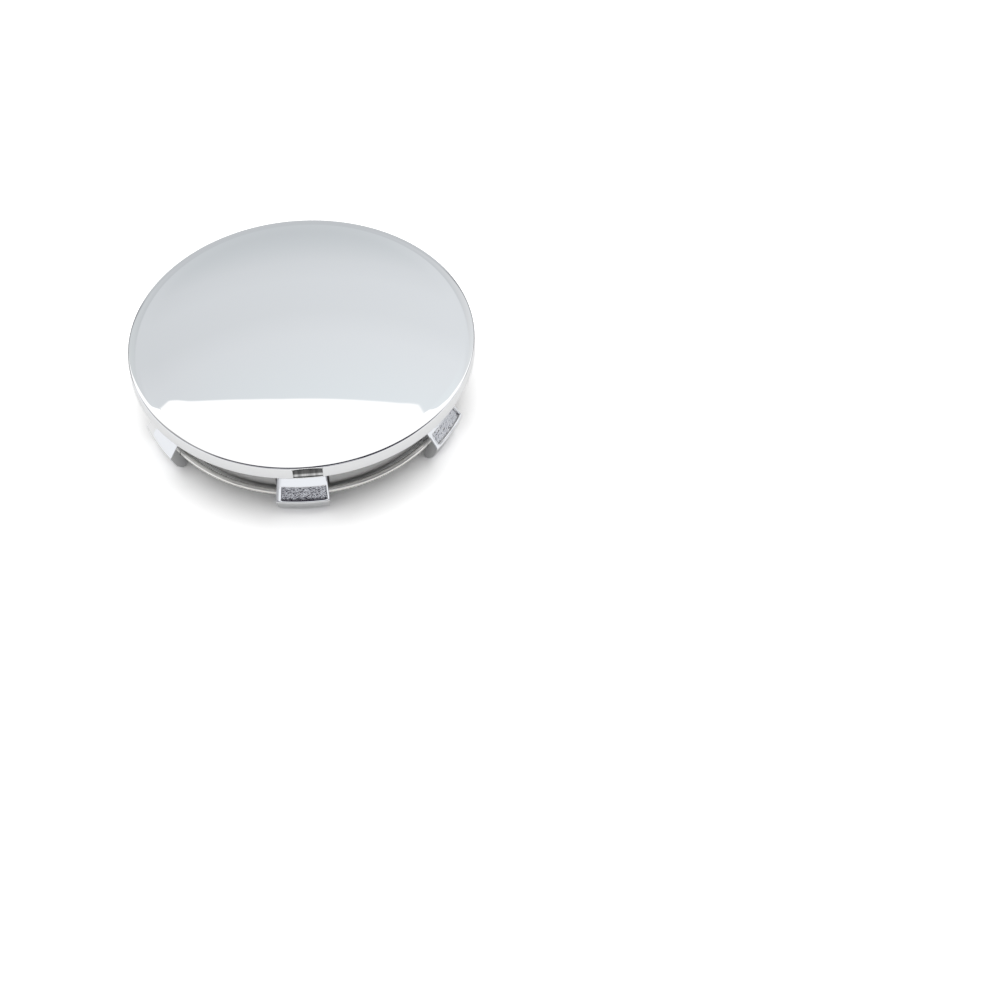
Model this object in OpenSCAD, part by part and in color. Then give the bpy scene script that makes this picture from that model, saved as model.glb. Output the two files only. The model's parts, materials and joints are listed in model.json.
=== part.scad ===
// Chrome wheel centre cap: a moulded disc with a short skirt and six snap clips,
// and a split wire ring that lies in the clips and pushes them outward.
// Millimetres. The cap stands on its clip feet at z = 0, its face is up, its axis is Z.

/* [Disc] */
// Outer diameter of the disc
disc_d = 69; // [64:1:76]
// Radius of the crowned face
crown_r = 600; // [400:10:900]
// Radius of the band where the face rolls over towards its edge
roll_r = 6; // [4:0.5:8]
// Steepest slope of that band, in degrees
roll_slope = 20; // [12:1:28]
// Rounding of the edge between the face and the side
edge_r = 0.5; // [0.3:0.1:0.7]
// Height of the side of the disc
rim_h = 3.1; // [2.8:0.1:3.6]
// Thickness of the disc next to its edge
plate_t = 2; // [1.6:0.1:2.4]
// Width of the lip under the edge of the disc, which seats on the wheel
lip_w = 1.6; // [1.2:0.1:2]
// Width of the flat that the trimmed moulding gate leaves on the side
gate_w = 6.2; // [4:0.2:8]

/* [Skirt] */
// How far the disc stands out past the skirt
overhang = 4.5; // [4.2:0.1:5]
// Wall thickness of the skirt
skirt_t = 1.6; // [1.2:0.1:2]
// Width of the slit on each side of a clip
slit_w = 0.5; // [0.4:0.1:0.8]

/* [Clips] */
// Number of clips
clip_count = 6; // [4:1:7]
// Angle that one clip takes up, in degrees
clip_angle = 18; // [14:1:20]
// Height from the feet of the clips to the edge of the face
stand_h = 15.5; // [14.5:0.5:18]
// How far the hook tip stands out past the skirt
clip_reach = 3.65; // [3:0.05:4]
// Height of the hook tip above the feet
tip_h = 4.25; // [4:0.05:5]
// Height that the sloping outer face of the hook takes up
slope_h = 4; // [3.6:0.1:4.4]
// Thickness of the neck of a clip
neck_t = 1.6; // [1.4:0.1:1.8]

/* [Pocket] */
// Number of clips with a pocket, counted from the front clip to the right
pocket_count = 2; // [0:1:6]
// Depth of the pocket in the sloping face
pocket_depth = 0.45; // [0.3:0.05:0.6]
// Smooth band above the pocket, along the slope
pocket_band = 2; // [1.8:0.1:2.6]
// Smooth border below the pocket, along the slope
pocket_border = 0.5; // [0.4:0.05:0.8]
// Border between the pocket and the left side of the clip
pocket_left = 1; // [0.6:0.1:1.4]
// Border between the pocket and the right side of the clip
pocket_right = 0.45; // [0.4:0.05:0.8]

/* [Wire ring] */
// Diameter of the wire
wire_d = 1.2; // [1:0.05:1.3]
// Open length between the two ends of the ring
ring_gap = 3; // [2:0.5:8]
// Play of the wire in the slots of the clips
wire_play = 0.1; // [0.05:0.05:0.15]

/* [Hidden] */
$fn = 120;

arc_steps = 10;
under_r = 0.3;
nose_h = 0.3;
root_r = 0.8;
lip_relief = 0.8;
bridge_h = 1;

disc_r = disc_d / 2;
skirt_r = disc_r - overhang;
skirt_in_r = skirt_r - skirt_t;
rim_z = stand_h - rim_h;
plate_z = stand_h - plate_t;
lip_r = disc_r - lip_w;

// Centres of the three arcs of the face: edge, roll-over band and crown, each tangent to the next.
edge_c = [disc_r - edge_r, stand_h - edge_r];
roll_c = edge_c - (roll_r - edge_r) * [sin(roll_slope), cos(roll_slope)];
crown_slope = asin(roll_c[0] / (crown_r - roll_r));
crown_c = roll_c - (crown_r - roll_r) * [sin(crown_slope), cos(crown_slope)];

// The ring lies level with the hook tips, and the skirt ends just above it.
ring_z = tip_h;
ring_r = skirt_r + wire_d / 2 + 0.15;
slot_r = wire_d / 2 + wire_play;
skirt_z = ring_z + slot_r + 0.15;

// Section of a clip.
neck_r = skirt_r + 0.5;
neck_in_r = neck_r - neck_t;
tip_r = skirt_r + clip_reach;
slope_top = [neck_r, tip_h + nose_h / 2 + slope_h];
slope_end = [tip_r, tip_h + nose_h / 2];
slope_dir = (slope_end - slope_top) / norm(slope_end - slope_top);
slope_in = [-abs(slope_dir[1]), -slope_dir[0]];
foot_r = tip_r - 2.35;
knee = [tip_r - 1.1, 1.4];
block_in_r = ring_r - 0.45;
catch_in_r = block_in_r - 1.1;

// Angle, in degrees, that a width takes up on a circle.
function width_angle(w, r) = w / r * 180 / PI;

// Points of an arc whose angles are measured from the axis of the cap.
function arc(c, r, from, to) =
    [for (i = [0 : arc_steps]) let (a = from + (to - from) * i / arc_steps) c + r * [sin(a), cos(a)]];

// Half section of the disc with its crowned face and the lip under its edge.
module disc_section() {
    polygon(concat(
        [[0, plate_z]],
        arc(crown_c, crown_r, 0, crown_slope),
        arc(roll_c, roll_r, crown_slope, roll_slope),
        arc(edge_c, edge_r, roll_slope, 90),
        arc([disc_r - under_r, rim_z + under_r], under_r, 90, 180),
        [[lip_r, rim_z], [lip_r, plate_z]]
    ));
}

// Half section of the skirt, with a fillet where it meets the disc on the inside.
module skirt_section() {
    difference() {
        translate([skirt_in_r - root_r, skirt_z])
            square([skirt_t + root_r, plate_z - skirt_z + 0.5]);
        translate([skirt_in_r - root_r, plate_z - root_r])
            circle(r = root_r);
        translate([skirt_in_r - 2 * root_r, skirt_z - 1])
            square([2 * root_r, plate_z - root_r - skirt_z + 1]);
    }
}

// Section of a clip: neck, sloping face, nose, tapered lower face and foot.
module clip_outline() {
    polygon([
        [neck_in_r, plate_z + 0.5],
        [neck_r, plate_z + 0.5],
        slope_top,
        slope_end,
        [tip_r, tip_h - nose_h / 2],
        knee,
        [foot_r, 0],
        [block_in_r, 0],
        [block_in_r, ring_z + slot_r],
        [neck_in_r, ring_z + slot_r]
    ]);
}

// Section of the slot that the wire lies in. It opens towards the axis.
module slot_section() {
    translate([ring_r, ring_z])
        circle(r = slot_r);
    translate([neck_in_r - 1, ring_z - slot_r])
        square([ring_r - neck_in_r + 1, 2 * slot_r]);
}

// Section of the catch that keeps the wire from dropping out. It is narrower than the clip.
module catch_section() {
    polygon([
        [catch_in_r, 0.6],
        [catch_in_r + 0.6, 0],
        [block_in_r + 0.2, 0],
        [block_in_r + 0.2, ring_z - slot_r],
        [catch_in_r, ring_z - slot_r]
    ]);
}

// Section of the pocket in the sloping face.
module pocket_section() {
    start = slope_top + pocket_band * slope_dir;
    end = slope_end - pocket_border * slope_dir;
    polygon([
        start - slope_in,
        end - slope_in,
        end + pocket_depth * slope_in,
        start + pocket_depth * slope_in
    ]);
}

// Turns a section about the axis, from one angle to another, measured from the middle of a clip.
module turned(from, to) {
    rotate([0, 0, from - 90])
        rotate_extrude(angle = to - from)
            children();
}

module clip(pocketed) {
    half = clip_angle / 2;
    relief = width_angle(lip_relief, block_in_r);
    difference() {
        union() {
            turned(-half, half)
                difference() {
                    clip_outline();
                    slot_section();
                }
            turned(relief - half, half - relief)
                catch_section();
        }
        if (pocketed)
            turned(width_angle(pocket_left, tip_r) - half, half - width_angle(pocket_right, tip_r))
                pocket_section();
    }
}

// One slit beside each side of a clip, so that the clip can flex on its neck.
module slits() {
    turn = clip_angle / 2;
    slit = width_angle(slit_w, skirt_r);
    for (from = [-turn - slit, turn])
        turned(from, from + slit)
            translate([skirt_in_r - 1, skirt_z - 1])
                square([skirt_t + 2, plate_z - bridge_h - skirt_z + 1]);
}

// The flat left where the gate was trimmed off, above the right half of the front clip.
module gate_flat() {
    gate_turn = clip_angle * 0.15;
    depth = disc_r - sqrt(disc_r * disc_r - gate_w * gate_w / 4);
    rotate([0, 0, gate_turn])
        translate([-gate_w, -disc_r - 1, rim_z - 1])
            cube([2 * gate_w, 1 + depth, rim_h + 2]);
}

module cap_body() {
    color("gainsboro")
        difference() {
            union() {
                rotate_extrude()
                    disc_section();
                difference() {
                    rotate_extrude()
                        skirt_section();
                    for (i = [0 : clip_count - 1])
                        rotate([0, 0, i * 360 / clip_count])
                            turned(-clip_angle / 2, clip_angle / 2)
                                translate([0, -1])
                                    square([disc_r, plate_z - bridge_h + 1]);
                }
                for (i = [0 : clip_count - 1])
                    rotate([0, 0, i * 360 / clip_count])
                        clip(i < pocket_count);
            }
            for (i = [0 : clip_count - 1])
                rotate([0, 0, i * 360 / clip_count])
                    slits();
            gate_flat();
        }
}

// The ring's open gap is at the back, midway between two clips.
module wire_ring() {
    gap_angle = width_angle(ring_gap, ring_r);
    gap_turn = 90 + (floor(clip_count / 2) - 0.5) * 360 / clip_count;
    color("silver")
        rotate([0, 0, gap_turn + gap_angle / 2 - 180])
            rotate_extrude(angle = 360 - gap_angle)
                translate([ring_r, ring_z])
                    circle(d = wire_d, $fn = 32);
}

cap_body();
wire_ring();
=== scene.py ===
import json
import math

import bpy
from mathutils import Matrix, Vector

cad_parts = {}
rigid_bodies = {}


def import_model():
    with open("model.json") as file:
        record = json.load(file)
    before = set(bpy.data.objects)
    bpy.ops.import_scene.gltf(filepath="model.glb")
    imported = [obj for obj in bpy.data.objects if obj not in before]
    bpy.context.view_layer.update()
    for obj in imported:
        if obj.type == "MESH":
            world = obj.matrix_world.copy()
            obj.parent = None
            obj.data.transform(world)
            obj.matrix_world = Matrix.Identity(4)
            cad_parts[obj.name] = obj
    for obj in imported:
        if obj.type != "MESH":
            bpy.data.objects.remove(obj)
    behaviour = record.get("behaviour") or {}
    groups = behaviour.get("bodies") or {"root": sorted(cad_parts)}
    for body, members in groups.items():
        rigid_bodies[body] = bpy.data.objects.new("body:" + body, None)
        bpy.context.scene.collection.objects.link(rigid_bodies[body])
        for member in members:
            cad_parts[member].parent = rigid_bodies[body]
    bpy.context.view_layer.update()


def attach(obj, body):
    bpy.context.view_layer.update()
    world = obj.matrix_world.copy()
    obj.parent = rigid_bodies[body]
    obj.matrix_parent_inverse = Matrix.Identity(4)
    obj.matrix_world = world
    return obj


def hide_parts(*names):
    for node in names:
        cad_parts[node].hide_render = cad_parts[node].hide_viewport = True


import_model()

mm = 0.001  # every size below is in millimetres, Blender works in metres


def startClean():
    if bpy.context.object and bpy.context.object.mode != "OBJECT":
        bpy.ops.object.mode_set(mode="OBJECT")
    bpy.ops.object.select_all(action="DESELECT")


def pick(obj):
    startClean()
    obj.select_set(True)
    bpy.context.view_layer.objects.active = obj


def onCircle(r, z, degrees):
    a = math.radians(degrees)
    return Vector((r * math.cos(a), r * math.sin(a), z)) * mm


def arcPoints(centre, radius, fromSlope, toSlope, steps):
    # points of an arc, its slopes measured from the cap's axis in degrees
    points = []
    for i in range(steps + 1):
        a = math.radians(fromSlope + (toSlope - fromSlope) * i / steps)
        points.append((centre[0] + radius * math.sin(a), centre[1] + radius * math.cos(a)))
    return points


def drawSection(name, points, degrees, closed):
    # one vertex of a tiny plane, extruded from point to point in the plane through the axis
    startClean()
    bpy.ops.mesh.primitive_plane_add(size=mm, location=onCircle(*points[0], degrees))
    obj = bpy.context.object
    obj.name = name
    bpy.ops.object.transform_apply(location=True, rotation=False, scale=False)
    bpy.ops.object.mode_set(mode="EDIT")
    bpy.ops.mesh.select_mode(type="VERT")
    bpy.ops.mesh.select_all(action="SELECT")
    bpy.ops.mesh.merge(type="CENTER")
    for here, there in zip(points, points[1:]):
        step = onCircle(*there, degrees) - onCircle(*here, degrees)
        bpy.ops.mesh.extrude_region_move(TRANSFORM_OT_translate={"value": step})
    bpy.ops.mesh.select_all(action="SELECT")
    if closed:
        bpy.ops.mesh.edge_face_add()
    return obj


def spinOn(degrees, steps):
    # carries the selected end of a section on round the cap's axis, anticlockwise from above
    bpy.ops.mesh.spin(steps=steps, angle=math.radians(-degrees), center=(0, 0, 0), axis=(0, 0, 1))


def closeUp():
    bpy.ops.mesh.select_all(action="SELECT")
    bpy.ops.mesh.remove_doubles(threshold=0.002 * mm)
    bpy.ops.mesh.normals_make_consistent(inside=False)


def selectFaces(obj, wanted):
    # wanted gets a face's middle (r, z in mm, angle in degrees) and its normal
    bpy.ops.mesh.select_mode(type="FACE")
    bpy.ops.mesh.select_all(action="DESELECT")
    bpy.ops.object.mode_set(mode="OBJECT")
    count = 0
    for face in obj.data.polygons:
        c = face.center / mm
        face.select = wanted(math.hypot(c.x, c.y), c.z, math.degrees(math.atan2(c.y, c.x)), face.normal)
        count += face.select
    bpy.ops.object.mode_set(mode="EDIT")
    return count


def selectEdges(obj, wanted):
    # wanted gets the two ends of an edge, each as (r, z in mm, angle in degrees)
    bpy.ops.mesh.select_mode(type="EDGE")
    bpy.ops.mesh.select_all(action="DESELECT")
    bpy.ops.object.mode_set(mode="OBJECT")
    ends = []
    for v in obj.data.vertices:
        c = v.co / mm
        ends.append((math.hypot(c.x, c.y), c.z, math.degrees(math.atan2(c.y, c.x))))
    for edge in obj.data.edges:
        edge.select = wanted(ends[edge.vertices[0]], ends[edge.vertices[1]])
    bpy.ops.object.mode_set(mode="EDIT")


def turnDifference(a, b):
    return (a - b + 180) % 360 - 180


def finishModifier(obj, kind, **settings):
    pick(obj)
    modifier = obj.modifiers.new(kind.title(), kind)
    for key, value in settings.items():
        setattr(modifier, key, value)
    bpy.ops.object.modifier_apply(modifier=modifier.name)


def node(tree, kind, inputs=None, **settings):
    # makes one shader node; an input gets a value, or a link if it is another node's socket
    made = tree.nodes.new(kind)
    for key, value in settings.items():
        setattr(made, key, value)
    for key, value in (inputs or {}).items():
        if isinstance(value, bpy.types.NodeSocket):
            tree.links.new(value, made.inputs[key])
        else:
            made.inputs[key].default_value = value
    return made


def calc(tree, operation, a, b=0.0, c=0.0):
    inputs = {0: a, 1: b, 2: c}
    return node(tree, "ShaderNodeMath", inputs, operation=operation).outputs[0]


def smooth(tree, value, low, high, toLow=0.0, toHigh=1.0):
    return node(tree, "ShaderNodeMapRange", {0: value, 1: low, 2: high, 3: toLow, 4: toHigh},
                interpolation_type="SMOOTHSTEP").outputs[0]


def noise(tree, place, scale, detail):
    return node(tree, "ShaderNodeTexNoise", {"Vector": place, "Scale": scale, "Detail": detail}).outputs[0]


def mixColours(tree, share, a, b):
    return node(tree, "ShaderNodeMix", {0: share, 6: a, 7: b}, data_type="RGBA").outputs[2]


def fromScreen(r, g, b):
    # an sRGB colour of 0-255 as Blender's linear one
    return tuple((c / 255 / 12.92 if c < 11 else ((c / 255 + 0.055) / 1.055) ** 2.4) for c in (r, g, b)) + (1.0,)


def strip(tree, value, stops, scale=1.0):
    # a colour ramp from the first stop to the last; a stop holds a colour or a plain number
    low, high = stops[0][0], stops[-1][0]
    share = node(tree, "ShaderNodeMapRange", {0: value, 1: low, 2: high}).outputs[0]
    ramp = node(tree, "ShaderNodeValToRGB", {0: share})
    elements = ramp.color_ramp.elements
    while len(elements) > 1:
        elements.remove(elements[-1])
    for i, (at, what) in enumerate(stops):
        element = elements[0] if i == 0 else elements.new((at - low) / (high - low))
        element.position = (at - low) / (high - low)
        element.color = fromScreen(*what) if isinstance(what, tuple) else (what / scale,) * 3 + (1,)
    return calc(tree, "MULTIPLY", ramp.outputs[0], scale) if scale != 1.0 else ramp.outputs[0]


cameraSettings = {
    "place": (0.02946, -0.31164, 0.33275),
    "heading": -1.76,   # degrees round Z
    "tilt": 40.155,     # degrees up from straight down
    "roll": -0.76,
    "lens": 80.17,
}

startClean()
bpy.ops.object.camera_add()
camera = bpy.context.object
camera.name = "camera"
turn = lambda axis, name: Matrix.Rotation(math.radians(cameraSettings[name]), 4, axis)
camera.matrix_world = (
    Matrix.Translation(cameraSettings["place"])
    @ turn("Z", "heading") @ turn("X", "tilt") @ turn("Z", "roll")
)
camera.data.lens = cameraSettings["lens"]
camera.data.sensor_width = 36
camera.data.clip_start = 0.01
bpy.context.scene.camera = camera
bpy.context.scene.view_settings.view_transform = "Standard"
print("camera placed")


def newFinish(name):
    material = bpy.data.materials.new(name)
    material.use_nodes = True
    tree = material.node_tree
    surface = tree.nodes["Principled BSDF"]
    place = node(tree, "ShaderNodeTexCoord").outputs["Object"]
    return material, tree, surface, place


def addBump(tree, surface, height):
    bump = node(tree, "ShaderNodeBump", {"Height": height, "Distance": 1.0})
    tree.links.new(bump.outputs[0], surface.inputs["Normal"])


chromeSettings = {
    "colour": (0.765, 0.77, 0.776, 1), "roughness": 0.006,
    "smudge": 0.014, "smudgeScale": 40,             # faint cloudy patches
    "wave": 0.0025, "waveScale": 35,                # slow waviness of the moulding, in mm of height
    "grainColour": (0.57, 0.575, 0.595, 1), "grainRough": 0.18,
    "grain": 0.028, "grainScale": 2600,             # grain of the pocket floors
    "gateRough": 0.1,
    "streak": 0.006, "streakScale": 1800,           # upright marks of the trimmed gate
    "streakStretch": 0.06, "streakShade": (0.7, 1.3),
    "dullRough": 0.32,                              # the skirt, where the plating is thin
    # base colours by height in mm, painted light: a painted reflection in bands on the gate mark, painted shade
    # darker upwards on the skirt
    "gateShades": [(12.4, 0.05), (12.95, 0.06), (13.1, 0.42), (13.35, 0.55),
                   (13.6, 0.4), (13.85, 0.11), (15.1, 0.08)],
    "dullShades": [(5, 0.5), (7.5, 0.5), (10, 0.42), (13.5, 0.36)],
}


def chromeFinish(name, s, kind):
    # kind is plain, grain, gate or dull: its own colour, roughness and painted shades come from the settings
    material, tree, surface, place = newFinish(name)
    surface.inputs["Metallic"].default_value = 1
    surface.inputs["Base Color"].default_value = s.get(kind + "Colour", s["colour"])
    smudges = noise(tree, place, s["smudgeScale"], 3.0)
    least = s.get(kind + "Rough", s["roughness"])
    rough = smooth(tree, smudges, 0.42, 0.75, least, least + s["smudge"])
    tree.links.new(rough, surface.inputs["Roughness"])
    height = calc(tree, "MULTIPLY", noise(tree, place, s["waveScale"], 1.0), s["wave"] * mm)
    if kind == "grain":
        grains = noise(tree, place, s["grainScale"], 2.0)
        height = calc(tree, "MULTIPLY_ADD", grains, s["grain"] * mm, height)
    if kind == "gate":
        # stretched along Z, so that the marks stand upright
        marks = node(tree, "ShaderNodeMapping", {"Vector": place, "Scale": (1, 1, s["streakStretch"])}).outputs[0]
        streaks = noise(tree, marks, s["streakScale"], 2.0)
        height = calc(tree, "MULTIPLY_ADD", streaks, s["streak"] * mm, height)
    # painted light: the gate's painted reflection and the skirt's painted shade go into the base colour, by height
    if kind + "Shades" in s:
        level = calc(tree, "DIVIDE", node(tree, "ShaderNodeSeparateXYZ", {0: place}).outputs[2], mm)
        shade = strip(tree, level, s[kind + "Shades"])
        if kind == "gate":
            shade = calc(tree, "MULTIPLY", shade, smooth(tree, streaks, 0.35, 0.65, *s["streakShade"]))
        tree.links.new(shade, surface.inputs["Base Color"])
    addBump(tree, surface, height)
    return material


chrome = chromeFinish("chrome_plating", chromeSettings, "plain")
grainChrome = chromeFinish("chrome_over_grain", chromeSettings, "grain")
gateChromePaintedReflection = chromeFinish("chrome_gate_mark_painted_reflection", chromeSettings, "gate")
dullChromePaintedShade = chromeFinish("chrome_thin_painted_shade", chromeSettings, "dull")
capFinishes = [chrome, grainChrome, gateChromePaintedReflection, dullChromePaintedShade]

wireSettings = {
    "colour": (0.93, 0.92, 0.88, 1), "metallic": 0.6, "roughness": 0.05,
    "line": 0.003, "lineScale": 5000, "lineStretch": 0.0004,  # fine lines that run along the wire
}


def wireFinish(s):
    material, tree, surface, place = newFinish("drawn_wire")
    surface.inputs["Metallic"].default_value = s["metallic"]
    surface.inputs["Base Color"].default_value = s["colour"]
    surface.inputs["Roughness"].default_value = s["roughness"]
    # the lines are a noise over the distance from the axis and the height, drawn out along the wire
    x, y, z = node(tree, "ShaderNodeSeparateXYZ", {0: place}).outputs
    away = calc(tree, "SQRT", calc(tree, "MULTIPLY_ADD", x, x, calc(tree, "MULTIPLY", y, y)))
    along = calc(tree, "MULTIPLY", calc(tree, "ARCTAN2", y, x), s["lineStretch"])
    across = node(tree, "ShaderNodeCombineXYZ", {0: away, 1: z, 2: along}).outputs[0]
    addBump(tree, surface, calc(tree, "MULTIPLY", noise(tree, across, s["lineScale"], 2.0), s["line"] * mm))
    return material


print("finishes made")


capSizes = {
    "discR": 34.5, "edgeZ": 15.5,
    "crownR": 600, "rollR": 6, "rollSlope": 20, "edgeR": 0.5,
    "sinkR": 30, "sink": 0.002,  # the face is a hair flatter outside this radius, over the root of the skirt
    "guard": 0.004,              # degrees from the crown's end to a ring that keeps the band out of its shading
    "rimH": 3.1, "plateT": 2, "lipW": 1.6, "lipBevel": 0.1, "underR": 0.3,
    "skirtR": 30, "skirtT": 1.6, "skirtZ": 5.1, "skirtBevel": 0.15, "filletR": 0.8, "bridgeH": 1, "slitW": 0.5,
    "gateW": 6.2, "gateTurn": 2.7, "gateLine": 0.2, "gateStep": 0.02, "gateSunk": 0.02, "gateRidge": 0.06,
    "innerSteps": 24, "outerSteps": 8, "bandSteps": 18, "edgeSteps": 9, "underSteps": 4, "filletSteps": 6,
    "plateRings": (20, 10),                  # inside, so that no face is too long
    "windowSteps": 14, "betweenSteps": 28,   # round the axis, over a clip's window and between two
}
clipSizes = {
    "count": 6, "pockets": 2, "angle": 18,
    "neckR": 30.5, "neckInR": 28.9, "slopeTopZ": 8.4,
    "tipR": 33.65, "tipZ": 4.25, "noseH": 0.3,
    "kneeR": 32.55, "kneeZ": 1.4, "footR": 31.3, "blockInR": 30.3,
    "slotR": 0.7, "slotSteps": 12, "wireR": 30.75, "catchIn": 1.1, "catchFrom": 0.6,
    "band": 2.0, "border": 0.5, "leftBorder": 1.0, "rightBorder": 0.45,
    "pocketDepth": 0.45, "pocketDraft": 0.04, "pocketRows": 5, "grain": 0.048, "grainCuts": 3,
    "grainFrom": (73.1, 41.7, 29.3),  # the grain is drawn point by point, in order of distance from here
    "rootIn": 0.5,  # how far the neck goes into the disc
    "steps": 14, "bevel": 0.08, "bevelAngle": 28,
}


def capProfile(s):
    # the half section of the disc and the skirt, from the middle of the face round to the middle inside
    edge = (s["discR"] - s["edgeR"], s["edgeZ"] - s["edgeR"])
    slope = math.radians(s["rollSlope"])
    roll = (edge[0] - (s["rollR"] - s["edgeR"]) * math.sin(slope),
            edge[1] - (s["rollR"] - s["edgeR"]) * math.cos(slope))
    crownSlope = math.degrees(math.asin(roll[0] / (s["crownR"] - s["rollR"])))
    crown = (roll[0] - (s["crownR"] - s["rollR"]) * math.sin(math.radians(crownSlope)),
             roll[1] - (s["crownR"] - s["rollR"]) * math.cos(math.radians(crownSlope)))
    sinkSlope = math.degrees(math.asin(s["sinkR"] / s["crownR"]))
    inner = arcPoints(crown, s["crownR"], 0, sinkSlope, s["innerSteps"])
    outer = arcPoints(crown, s["crownR"], sinkSlope, crownSlope, s["outerSteps"])
    outer[-1:] = arcPoints(crown, s["crownR"], crownSlope - s["guard"], crownSlope, 1)
    band = arcPoints(roll, s["rollR"], crownSlope, s["rollSlope"], s["bandSteps"])
    crownEnd, bandEnd = outer[-1][0], band[-1][0]
    most = s["sink"] * (crownEnd - s["sinkR"]) ** 2
    steepest = 2 * s["sink"] * (crownEnd - s["sinkR"])

    def lift(r):
        # the face is lifted a hair towards the end of the crown, and comes back down over the roll-over band
        if r <= crownEnd:
            return s["sink"] * max(0, r - s["sinkR"]) ** 2
        t = (r - crownEnd) / (bandEnd - crownEnd)
        return most * (2 * t ** 3 - 3 * t ** 2 + 1) + steepest * (bandEnd - crownEnd) * (t ** 3 - 2 * t ** 2 + t)

    rimZ = s["edgeZ"] - s["rimH"]
    plateZ = s["edgeZ"] - s["plateT"]
    bridgeZ = plateZ - s["bridgeH"]
    lipR = s["discR"] - s["lipW"]
    skirtInR = s["skirtR"] - s["skirtT"]
    fillet = [(skirtInR - s["filletR"] * (1 - math.cos(a)), plateZ - s["filletR"] * (1 - math.sin(a)))
              for a in [math.radians(90 / s["filletSteps"] * i) for i in range(s["filletSteps"] + 1)]]
    return (
        [(r, z + lift(r)) for r, z in inner[:-1] + outer + band[1:]]
        + arcPoints(edge, s["edgeR"], s["rollSlope"], 90, s["edgeSteps"])[1:]
        + arcPoints((s["discR"] - s["underR"], rimZ + s["underR"]), s["underR"], 90, 180, s["underSteps"])
        + [(lipR + s["lipBevel"], rimZ), (lipR, rimZ + s["lipBevel"])]
        + [(lipR, plateZ), (s["skirtR"], plateZ), (s["skirtR"], bridgeZ)]
        + [(s["skirtR"], s["skirtZ"] + s["skirtBevel"]), (s["skirtR"] - s["skirtBevel"], s["skirtZ"])]
        + [(skirtInR + s["skirtBevel"], s["skirtZ"]), (skirtInR, s["skirtZ"] + s["skirtBevel"])]
        + [(skirtInR, bridgeZ)] + fillet + [(r, plateZ) for r in s["plateRings"]] + [(0, plateZ)]
    )


def modelDisc(s, c):
    # the disc and its skirt, turned in one go, with steps that end at the clips' windows
    disc = drawSection("plated_cap", capProfile(s), 0, closed=False)
    for finish in capFinishes:
        disc.data.materials.append(finish)
    window = c["angle"] + 2 * math.degrees(s["slitW"] / s["skirtR"])
    between = 360 / c["count"] - window
    spinOn(between / 2, s["betweenSteps"] // 2)
    for i in range(c["count"]):
        spinOn(window, s["windowSteps"])
        if i < c["count"] - 1:
            spinOn(between, s["betweenSteps"])
    spinOn(between / 2, s["betweenSteps"] // 2)
    closeUp()

    # the windows in the skirt: the faces go, and the two walls are bridged round each opening
    plateZ = s["edgeZ"] - s["plateT"]
    bridgeZ = plateZ - s["bridgeH"]
    skirtInR = s["skirtR"] - s["skirtT"]
    middles = [-90 + 360 / c["count"] * i for i in range(c["count"])]
    inWindow = lambda a: min(abs(turnDifference(a, m)) for m in middles) < window / 2
    selectFaces(disc, lambda r, z, a, n: z < bridgeZ and skirtInR - 0.1 < r < s["skirtR"] + 0.1 and inWindow(a))
    bpy.ops.mesh.delete(type="FACE")
    for middle in middles:
        nearWindow = lambda p: abs(turnDifference(p[2], middle)) < window / 2 + 0.1 and p[1] < bridgeZ + 0.01
        atSide = lambda p: abs(abs(turnDifference(p[2], middle)) - window / 2) < 0.05
        onSkirt = lambda p: skirtInR - 0.1 < p[0] < s["skirtR"] + 0.1

        def openEdge(p, q):
            if not (nearWindow(p) and nearWindow(q) and onSkirt(p) and onSkirt(q)):
                return False
            upright = atSide(p) and atSide(q) and abs(p[2] - q[2]) < 0.01
            level = min(p[1], q[1]) > bridgeZ - 0.01
            return upright or level

        selectEdges(disc, openEdge)
        bpy.ops.mesh.fill(use_beauty=True)
    closeUp()

    # the skirt gets the thin, rougher plating, and a painted shade in its colour that darkens up under the disc
    selectFaces(disc, lambda r, z, a, n: z < plateZ - 0.01 and skirtInR - 0.2 < r < s["skirtR"] + 0.1)
    disc.active_material_index = capFinishes.index(dullChromePaintedShade)
    bpy.ops.object.material_slot_assign()
    startClean()
    return disc


def trimGate(disc, s):
    # the moulding gate is cut off flat on the side, which leaves a fine line at each end
    a = math.radians(s["gateTurn"] - 90)
    out = Vector((math.cos(a), math.sin(a), 0))
    reach = math.sqrt(s["discR"] ** 2 - s["gateW"] ** 2 / 4)
    pick(disc)
    bpy.ops.object.mode_set(mode="EDIT")
    bpy.ops.mesh.select_all(action="SELECT")
    bpy.ops.mesh.bisect(plane_co=out * reach * mm, plane_no=out, threshold=0.001 * mm,
                        use_fill=True, clear_outer=True)
    found = selectFaces(disc, lambda r, z, a, n: n.dot(out) > 0.99999 and r > reach - 0.1
                        and z > s["edgeZ"] - s["rimH"])
    bpy.ops.mesh.inset(thickness=s["gateLine"] * mm, depth=0)
    bpy.ops.mesh.inset(thickness=s["gateStep"] * mm, depth=-s["gateSunk"] * mm)
    # the gate flat gets its upright marks and a painted reflection: dark bands round a light band
    disc.active_material_index = capFinishes.index(gateChromePaintedReflection)
    bpy.ops.object.material_slot_assign()
    side = lambda r, a: abs(r * math.sin(math.radians(a + 90 - s["gateTurn"])))
    ends = selectFaces(disc, lambda r, z, a, n: n.dot(out) > 0.999 and r > reach - 0.001 and z < s["edgeZ"] - 0.2
                       and side(r, a) > s["gateW"] / 2 - s["gateLine"])
    bpy.ops.mesh.extrude_region_move(TRANSFORM_OT_translate={"value": out * s["gateRidge"] * mm})
    print("  gate trimmed:", found, "face,", ends, "ridges")
    startClean()


def slopeOf(c):
    # the sloping outer face of a clip: its top as (r, z), and its direction downwards
    run = Vector((c["tipR"] - c["neckR"], c["tipZ"] + c["noseH"] / 2 - c["slopeTopZ"]))
    return Vector((c["neckR"], c["slopeTopZ"])), run.normalized()


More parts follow.
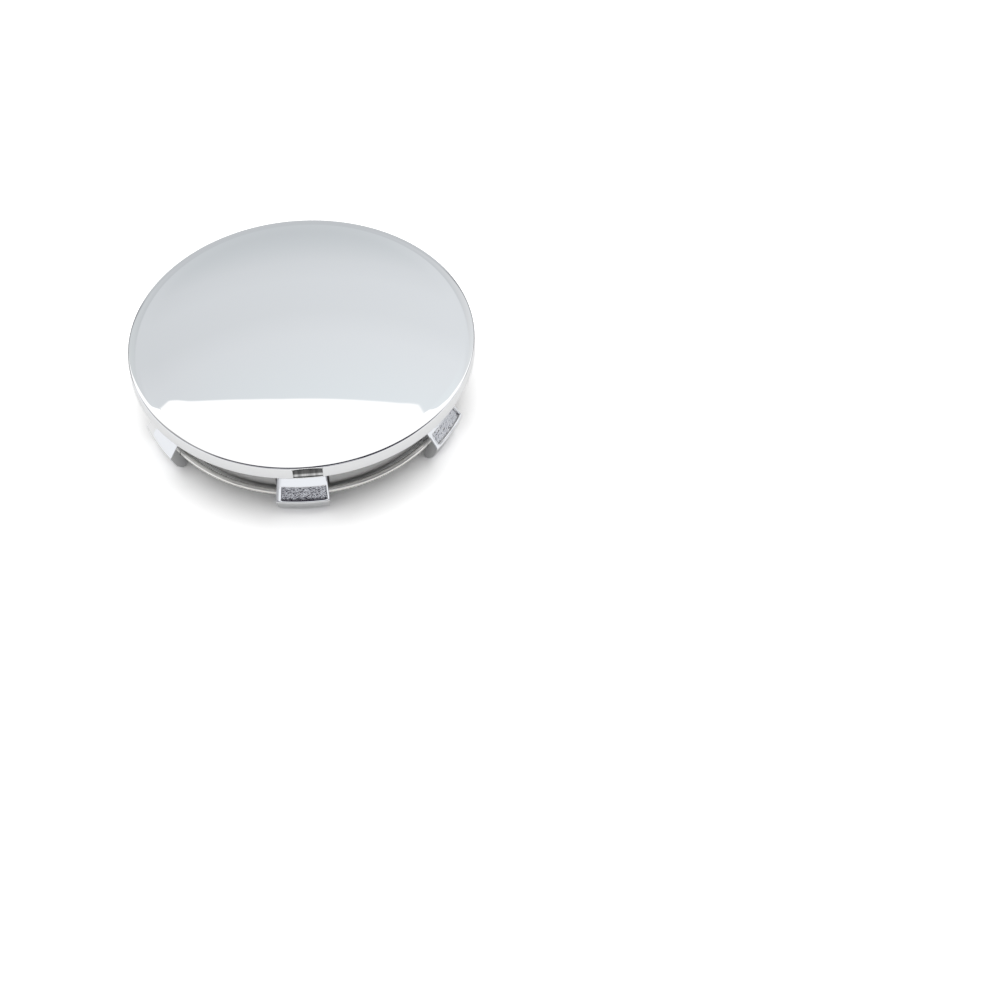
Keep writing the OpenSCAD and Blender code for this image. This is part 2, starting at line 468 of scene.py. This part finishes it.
def roughenPockets(cap, c):
    # the floor of each pocket has a coarse, sparkling grain, different in each clip
    top, down = slopeOf(c)
    out = Vector((-down.y, down.x))
    for i in range(c["pockets"]):
        middle = -90 + 360 / c["count"] * i

        def onFloor(r, z, a, n):
            deep = (Vector((r, z)) - top).dot(out)
            onClip = abs(turnDifference(a, middle)) < c["angle"] / 2
            return abs(deep + c["pocketDepth"]) < 0.04 and n.z > 0.4 and onClip

        pick(cap)
        bpy.ops.object.mode_set(mode="EDIT")
        found = selectFaces(cap, onFloor)
        cap.active_material_index = capFinishes.index(grainChrome)
        bpy.ops.object.material_slot_assign()
        bpy.ops.mesh.subdivide(number_cuts=c["grainCuts"])
        bpy.ops.mesh.select_less()
        bpy.context.scene.cursor.location = Vector(c["grainFrom"]) * mm
        bpy.ops.mesh.sort_elements(type="CURSOR_DISTANCE", elements={"VERT"})  # the boolean leaves them in any order
        bpy.ops.transform.vertex_random(offset=c["grain"] * mm, uniform=0.0, normal=1.0, seed=i + 3)
        bpy.context.scene.cursor.location = (0, 0, 0)  # new primitives are added at the cursor
        startClean()
    print("  pocket floors roughened:", found, "faces each")


def clipSection(s, c):
    top, slope = slopeOf(c)
    end = Vector((c["tipR"], c["tipZ"] + c["noseH"] / 2))
    pocketTop = top + slope * c["band"]
    pocketEnd = end - slope * c["border"]
    rows = [pocketTop + (pocketEnd - pocketTop) * i / c["pocketRows"] for i in range(c["pocketRows"] + 1)]
    innerZ = c["tipZ"] + c["slotR"]
    slot = arcPoints((c["wireR"], c["tipZ"]), c["slotR"], 180, 0, c["slotSteps"])
    rootZ = s["edgeZ"] - s["plateT"] + c["rootIn"]
    return (
        [(c["neckInR"], rootZ), (c["neckR"], rootZ), tuple(top)]
        + [tuple(p) for p in rows]
        + [tuple(end), (c["tipR"], c["tipZ"] - c["noseH"] / 2), (c["kneeR"], c["kneeZ"]), (c["footR"], 0)]
        + [(c["blockInR"], 0), (c["blockInR"], c["catchFrom"]), (c["blockInR"], c["tipZ"] - c["slotR"])]
        + slot + [(c["blockInR"], innerZ), (c["neckInR"], innerZ)]
    ), pocketTop, pocketEnd


def modelClip(s, c):
    # the clip in front, in steps round the axis that end where a pocket's sides are
    section, pocketTop, pocketEnd = clipSection(s, c)
    half = c["angle"] / 2
    left = math.degrees(c["leftBorder"] / c["tipR"])
    right = math.degrees(c["rightBorder"] / c["tipR"])
    clip = drawSection("clip", section, -90 - half, closed=True)
    spinOn(left, 2)
    spinOn(2 * half - 2 * left, c["steps"])
    spinOn(left - right, 1)
    spinOn(right, 1)
    closeUp()

    # the catch under the wire, narrower than the clip
    selectFaces(clip, lambda r, z, a, n: abs(r - c["blockInR"]) < 0.06
                and c["catchFrom"] < z < c["tipZ"] - c["slotR"] and abs(turnDifference(a, -90)) < half - left)
    bpy.ops.mesh.extrude_region_move(TRANSFORM_OT_translate={"value": (0, 0, 0)})
    shrink = (c["blockInR"] - c["catchIn"]) / c["blockInR"]
    bpy.ops.transform.resize(value=(shrink, shrink, 1), center_override=(0, 0, 0))
    for finish in capFinishes:
        clip.data.materials.append(finish)

    # the clips with a pocket have it sunk in the sloping face with a little draft
    plain = copyTurned(clip, 0)
    pick(clip)
    bpy.ops.object.mode_set(mode="EDIT")
    selectFaces(clip, lambda r, z, a, n: pocketEnd.y < z < pocketTop.y and n.z > 0.3 and r > c["neckR"] + 1
                and -half + left < turnDifference(a, -90) < half - right)
    bpy.ops.mesh.inset(thickness=c["pocketDraft"] * mm, depth=-c["pocketDepth"] * mm, use_even_offset=True)
    startClean()
    for made in (clip, plain):
        finishModifier(made, "BEVEL", width=c["bevel"] * mm, segments=2, limit_method="ANGLE",
                       angle_limit=math.radians(c["bevelAngle"]), use_clamp_overlap=True,
                       miter_outer="MITER_SHARP")
    return clip, plain


def copyTurned(obj, degrees):
    # anticlockwise from above
    pick(obj)
    bpy.ops.object.duplicate(linked=False)
    bpy.ops.transform.rotate(value=math.radians(-degrees), orient_axis="Z", center_override=(0, 0, 0))
    bpy.ops.object.transform_apply(location=True, rotation=True, scale=True)
    return bpy.context.object


def modelCap(s, c):
    disc = modelDisc(s, c)
    print("  disc turned:", len(disc.data.polygons), "faces")
    trimGate(disc, s)
    clip, plain = modelClip(s, c)
    clips = [copyTurned(clip if i < c["pockets"] else plain, 360 / c["count"] * i) for i in range(c["count"])]
    bpy.data.objects.remove(clip)
    bpy.data.objects.remove(plain)
    startClean()
    for clip in clips:
        clip.select_set(True)
    bpy.context.view_layer.objects.active = clips[0]
    bpy.ops.object.join()
    finishModifier(disc, "BOOLEAN", operation="UNION", object=clips[0], solver="EXACT")
    bpy.data.objects.remove(clips[0])
    print("  clips joined on:", len(disc.data.polygons), "faces")
    roughenPockets(disc, c)
    return disc


cap = modelCap(capSizes, clipSizes)
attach(cap, "root")
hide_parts("cap_body")
print("plated cap modelled")


ringSizes = {
    "wireD": 1.2, "middleR": 30.75, "z": 4.25,
    "gap": 3.0, "gapAt": 60,  # the open gap, in mm, and where it is, in degrees
    "steps": 220, "sides": 20, "endBevel": 0.25,
}


def modelRing(s):
    # a round section drawn as a circle, turned round the cap, its two ends rounded
    gapAngle = math.degrees(s["gap"] / s["middleR"])
    start = s["gapAt"] + gapAngle / 2
    startClean()
    bpy.ops.mesh.primitive_circle_add(
        vertices=s["sides"], radius=s["wireD"] / 2 * mm, fill_type="NGON",
        location=onCircle(s["middleR"], s["z"], start),
        rotation=(math.pi / 2, 0, math.radians(start)))
    ring = bpy.context.object
    ring.name = "wire_ring_drawn"
    bpy.ops.object.transform_apply(location=True, rotation=True, scale=True)
    bpy.ops.object.mode_set(mode="EDIT")
    bpy.ops.mesh.select_all(action="SELECT")
    spinOn(360 - gapAngle, s["steps"])
    closeUp()
    startClean()
    finishModifier(ring, "BEVEL", width=s["endBevel"] * mm, segments=3,
                   limit_method="ANGLE", angle_limit=math.radians(60))
    ring.data.materials.append(wireFinish(wireSettings))
    return ring


ring = modelRing(ringSizes)
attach(ring, "root")
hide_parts("wire_ring")
print("wire ring modelled")


smoothAngle = 32  # edges that turn more than this stay sharp
for piece in (cap, ring):
    pick(piece)
    bpy.ops.object.shade_smooth_by_angle(angle=math.radians(smoothAngle))

# the flat faces of the clips keep their own normals between the small rounded edges
pick(cap)
bpy.ops.object.mode_set(mode="EDIT")
selectFaces(cap, lambda r, z, a, n: z < capSizes["edgeZ"] - capSizes["plateT"] - 0.1)
bpy.ops.object.vertex_group_add()
bpy.ops.object.vertex_group_assign()
startClean()
finishModifier(cap, "WEIGHTED_NORMAL", weight=80, keep_sharp=True, vertex_group=cap.vertex_groups[0].name)
print("shading set")


studioSettings = {
    "heading": -5.42,  # turns the studio so that its back is straight behind the cap, seen from the camera
    "plating": 0.77,   # colours below are as the chrome shows them, so they are divided by what it reflects
    "white": 1.05,     # the soft box
    # the card behind the cap: its sides, its top edge as (degrees round, degrees up), and its colours by degrees up
    "cardLeft": -39.5, "cardRight": 49, "cardSoft": 0.4, "edgeSoft": 0.08,
    "cardEdge": [(-42, 44), (-38.7, 47.9), (-36.7, 48.9), (-32.4, 49.85), (-27.2, 50.4), (-20.4, 50.3),
                 (-14, 49.4), (-11.5, 48.8), (-11.05, 48.36), (-10.6, 48.47), (-9.5, 48.87), (-8.7, 49.04),
                 (-7.1, 49.33), (-4.7, 49.74), (-2.2, 50.09), (0.3, 50.33), (2.8, 50.55), (5.2, 50.75),
                 (7.7, 50.92), (9, 50.92), (9.25, 50.86), (9.7, 51.3), (14.7, 53.45), (20, 55.4),
                 (26.9, 57), (36.2, 57.85), (41.2, 57.4), (43.4, 56.5), (46, 55.5), (48, 54.5)],
    "card": [(10, (190, 193, 196)), (36.5, (191, 195, 198)), (38, (199, 203, 206)), (39.5, (209, 212, 215)),
             (41, (213, 216, 219)), (43.5, (213, 216, 219)), (45.5, (218, 221, 224)), (50, (220, 225, 228)),
             (60, (222, 227, 230))],
    "cardAcross": 0.005, "acrossTo": 11,    # its upper part is a little brighter to the right
    "acrossFrom": 30, "acrossFull": 45,     # from so many degrees up, and fully from so many
    "cardBow": 0.016,  # and its lighter part ends higher towards the sides, in degrees up by degrees round squared
    # its least brightness by degrees round, which the roll-over band shows at both sides
    "cardSides": [(-38, (205, 209, 211)), (-25, (202, 206, 208)), (-12, (193, 196, 199)), (0, (186, 189, 193)),
                  (12, (197, 200, 203)), (27, (212, 214, 216)), (40, (220, 223, 225))],
    # what stands round the cap near the horizon, by degrees round
    "low": [(-180, (236, 238, 242)), (-62, (236, 238, 242)), (-56, (125, 126, 130)), (-28, (125, 126, 130)),
            (-22, (191, 194, 197)), (22, (191, 194, 197)), (28, (125, 126, 130)), (57, (125, 126, 130)),
            (63, (190, 193, 196)), (74, (170, 173, 178)), (82, (236, 238, 242)), (88, (190, 193, 198)),
            (98, (236, 238, 242)), (180, (236, 238, 242))],
    "lowTop": 22, "lowSoft": 3,
    # the dark room behind the camera: its share by degrees round, and where it ends below and above
    "dark": (46, 41, 54), "darkLow": 0.65, "darkLowSoft": 2,  # not quite so dark below the window
    "darkShare": [(-180, 1), (-122, 1), (-108, 0.75), (-64, 0.7), (-54, 0), (90, 0), (96, 1), (180, 1)],
    "darkBottom": [(-180, 2), (-130, 2), (-115, 18), (115, 18), (125, 2), (180, 2)], "darkBottomSoft": 2,
    "darkTop": [(-180, 88), (-150, 86), (-120, 70), (-60, 56), (90, 60), (105, 80), (130, 88), (180, 88)],
    "darkTopSoft": 3,
    # a bright window in the dark room
    "window": (236, 238, 242), "windowBottom": 22, "windowTop": 32, "windowSoft": 1,
    "windowShare": [(-180, 1), (-158, 1), (-152, 0.5), (-130, 0.5), (-126, 0), (152, 0), (156, 1), (180, 1)],
    "plain": 0.5,      # the even light on all that isn't a mirror
    "sun": 1.6, "sunAngle": 70, "sunTilt": 14, "sunPlace": (0, 0.1, 0.4),
    # the floor, and what is added to its white for the camera and for the mirrors
    "floorSize": 6, "floor": 0.88, "floorCamera": 0.66, "floorMirror": 0.15,
    # a painted shadow on the floor in the cap's hollow, where no light gets: its share of white there, for the camera
    "underCapPaintedShadow": 0.3, "underFrom": 26, "underTo": 27.4,
}
straightUp = 90.0  # degrees; a ramp holds a height as a share of this


def lightStudio(s):
    world = bpy.data.worlds.new("studio")
    bpy.context.scene.world = world
    world.use_nodes = True
    tree = world.node_tree
    direction = node(tree, "ShaderNodeTexCoord").outputs["Generated"]
    heading = (0, 0, math.radians(s["heading"]))
    turned = node(tree, "ShaderNodeMapping", {"Vector": direction, "Rotation": heading}).outputs[0]
    x, y, z = node(tree, "ShaderNodeSeparateXYZ", {0: turned}).outputs
    azimuth = calc(tree, "DEGREES", calc(tree, "ARCTAN2", x, y))
    height = calc(tree, "DEGREES", calc(tree, "ARCSINE", z))

    def times(a, b):
        return calc(tree, "MULTIPLY", a, b)

    def opposite(share):
        return calc(tree, "SUBTRACT", 1.0, share)

    def above(limit, soft):
        return smooth(tree, calc(tree, "SUBTRACT", height, limit), -soft, soft)

    def heightOf(name):
        return strip(tree, azimuth, s[name], straightUp)

    def scaled(colour, by):
        return node(tree, "ShaderNodeVectorMath", {0: colour, 3: by}, operation="SCALE").outputs[0]

    # a soft box overhead, and behind it the grey card, brighter towards its top and to the right
    softbox = (s["white"],) * 3 + (1,)
    middle = calc(tree, "MAXIMUM", calc(tree, "MINIMUM", azimuth, s["acrossTo"]), -s["acrossTo"])
    card = strip(tree, calc(tree, "SUBTRACT", height, times(times(middle, middle), s["cardBow"])), s["card"])
    upper = smooth(tree, height, s["acrossFrom"], s["acrossFull"])
    card = scaled(card, calc(tree, "ADD", times(times(middle, s["cardAcross"]), upper), 1.0))
    sides = strip(tree, azimuth, s["cardSides"])
    card = node(tree, "ShaderNodeMix", {0: 1.0, 6: card, 7: sides}, data_type="RGBA", blend_type="LIGHTEN").outputs[2]
    right = smooth(tree, azimuth, s["cardRight"] - s["cardSoft"], s["cardRight"] + s["cardSoft"], 1.0, 0.0)
    left = smooth(tree, azimuth, s["cardLeft"] - s["cardSoft"], s["cardLeft"] + s["cardSoft"])
    below = opposite(above(heightOf("cardEdge"), s["edgeSoft"]))
    studio = mixColours(tree, times(times(left, right), below), softbox, card)

    # near the horizon: what stands round the cap
    studio = mixColours(tree, opposite(above(s["lowTop"], s["lowSoft"])), studio, strip(tree, azimuth, s["low"]))

    # in front: the dark room behind the camera, with its window
    dark = times(above(heightOf("darkBottom"), s["darkBottomSoft"]),
                 opposite(above(heightOf("darkTop"), s["darkTopSoft"])))
    dark = times(dark, strip(tree, azimuth, s["darkShare"]))
    bottom, soft = s["windowBottom"], s["darkLowSoft"]
    dark = times(dark, smooth(tree, height, bottom - soft, bottom + soft, s["darkLow"], 1.0))
    studio = mixColours(tree, dark, studio, fromScreen(*s["dark"]))
    window = times(above(s["windowBottom"], s["windowSoft"]), opposite(above(s["windowTop"], s["windowSoft"])))
    window = times(window, strip(tree, azimuth, s["windowShare"]))
    studio = mixColours(tree, window, studio, fromScreen(*s["window"]))
    studio = scaled(studio, 1 / s["plating"])

    # mirrors see the studio, the camera sees white, and all else gets an even light
    ray = node(tree, "ShaderNodeLightPath").outputs
    light = mixColours(tree, ray["Is Glossy Ray"], (s["plain"],) * 3 + (1,), studio)
    light = mixColours(tree, ray["Is Camera Ray"], light, (1, 1, 1, 1))
    tree.links.new(light, tree.nodes["Background"].inputs["Color"])


lightStudio(studioSettings)

startClean()
bpy.ops.object.light_add(type="SUN", location=studioSettings["sunPlace"],
                         rotation=(math.radians(-studioSettings["sunTilt"]), 0, 0))
sun = bpy.context.object
sun.data.energy = studioSettings["sun"]
sun.data.angle = math.radians(studioSettings["sunAngle"])
sun.visible_glossy = False


def paintFloor(s):
    # a white floor that keeps the shadow, and for the camera a painted shadow in the cap's hollow; from below it can
    # be seen through
    material, tree, surface, place = newFinish("floor_paint")
    tree.nodes.remove(surface)
    ray = node(tree, "ShaderNodeLightPath").outputs
    white = calc(tree, "MULTIPLY_ADD", ray["Is Camera Ray"], s["floorCamera"], s["floor"])
    white = calc(tree, "MULTIPLY_ADD", ray["Is Glossy Ray"], s["floorMirror"], white)
    # painted shadow: the camera sees the floor darker within the cap's hollow
    away = node(tree, "ShaderNodeVectorMath", {0: place}, operation="LENGTH").outputs["Value"]
    under = smooth(tree, away, s["underFrom"] * mm, s["underTo"] * mm, s["underCapPaintedShadow"], 1.0)
    notCamera = calc(tree, "SUBTRACT", 1.0, ray["Is Camera Ray"])
    white = calc(tree, "MULTIPLY", white, calc(tree, "MAXIMUM", under, notCamera))
    top = node(tree, "ShaderNodeBsdfDiffuse", {"Color": white}).outputs[0]
    clear = node(tree, "ShaderNodeBsdfTransparent").outputs[0]
    fromBelow = node(tree, "ShaderNodeNewGeometry").outputs["Backfacing"]
    seen = node(tree, "ShaderNodeMixShader", {0: fromBelow, 1: top, 2: clear}).outputs[0]
    tree.links.new(seen, tree.nodes["Material Output"].inputs["Surface"])
    return material


startClean()
bpy.ops.mesh.primitive_plane_add(size=studioSettings["floorSize"])
floor = bpy.context.object
floor.name = "floor"
floor.data.materials.append(paintFloor(studioSettings))
print("studio lit")
